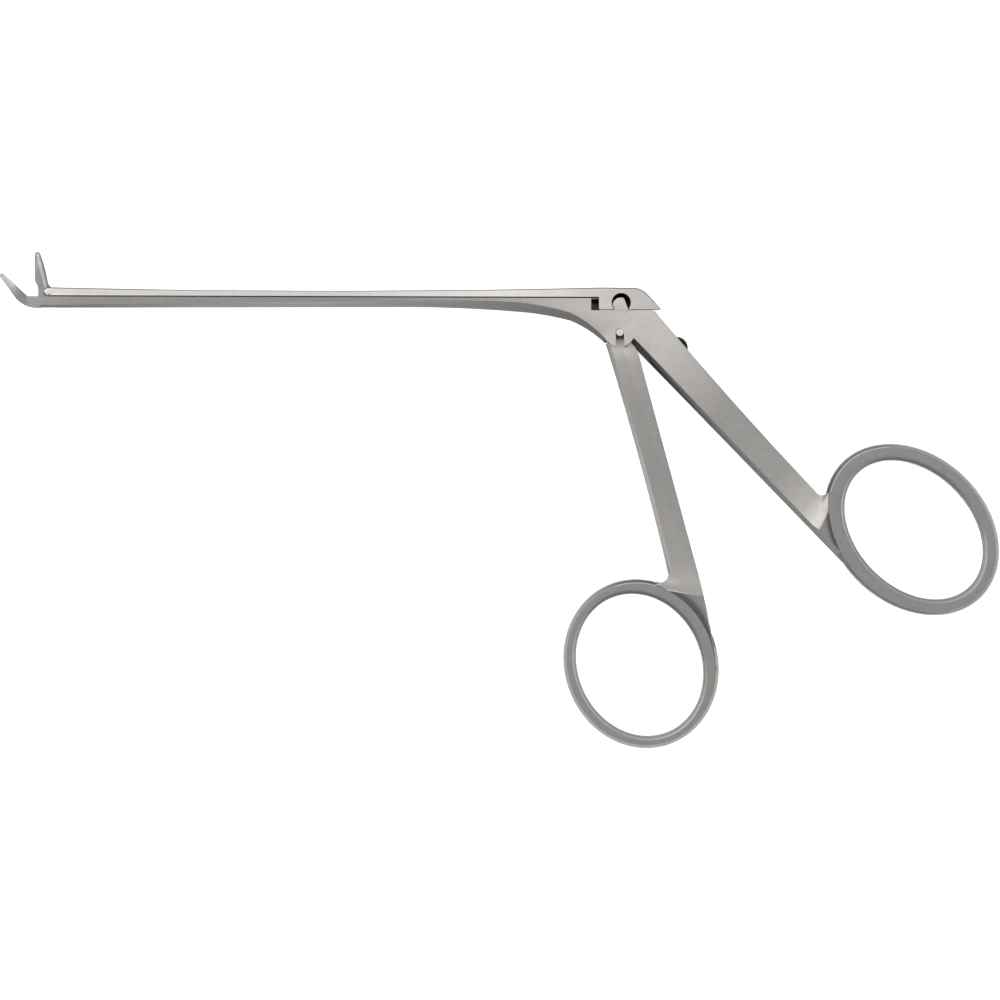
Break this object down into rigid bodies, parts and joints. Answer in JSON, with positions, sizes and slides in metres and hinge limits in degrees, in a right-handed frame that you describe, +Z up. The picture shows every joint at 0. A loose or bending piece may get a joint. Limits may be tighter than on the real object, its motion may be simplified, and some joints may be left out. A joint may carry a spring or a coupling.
{
  "type": "ethmoid forceps",
  "caption": "Slender surgical forceps with an upturned cup jaw worked by a sliding shaft, a swinging finger lever and two finger rings.",
  "frame": {"origin": "on the resting side face, under the axis of the lever pivot pin", "axes": "+Z up through the thickness of the instrument, -X along the shaft to the jaws, -Y towards the finger rings"},
  "size_m": [0.1999, 0.0988, 0.005],
  "materials": {
    "satin_steel": "fine satin",
    "pin_steel": "ground flush",
    "black_steel": "blackened"
  },
  "bodies": {
    "frame": {"fixed_shaft": "satin_steel", "jaw_pivot_pin": "pin_steel", "stop_screw": "black_steel"},
    "lever": {"finger_lever": "satin_steel", "lever_pivot_pin": "pin_steel"},
    "slider": {"sliding_shaft": "satin_steel", "jaw_drive_pin": "pin_steel"},
    "jaw": {"movable_jaw": "satin_steel"}
  },
  "joints": [
    {"name": "lever_swing", "type": "hinge", "parent": "frame", "child": "lever", "pos_m": [0, 0, 0.0025], "axis": [0, 0, 1], "range_deg": [0, 12.45]},
    {"name": "shaft_slide", "type": "slide", "parent": "frame", "child": "slider", "axis": [-1, 0, 0], "range_m": [0, 0.00111]},
    {"name": "jaw_swing", "type": "hinge", "parent": "frame", "child": "jaw", "pos_m": [-0.1146, 0.0062, 0.0025], "axis": [0, 0, 1], "range_deg": [0, 44.82]}
  ],
  "couplings": [
    {"joint": "shaft_slide", "follows": "lever_swing", "m_per_rad": 0.0051083},
    {"joint": "jaw_swing", "follows": "lever_swing", "ratio": 3.5984}
  ]
}
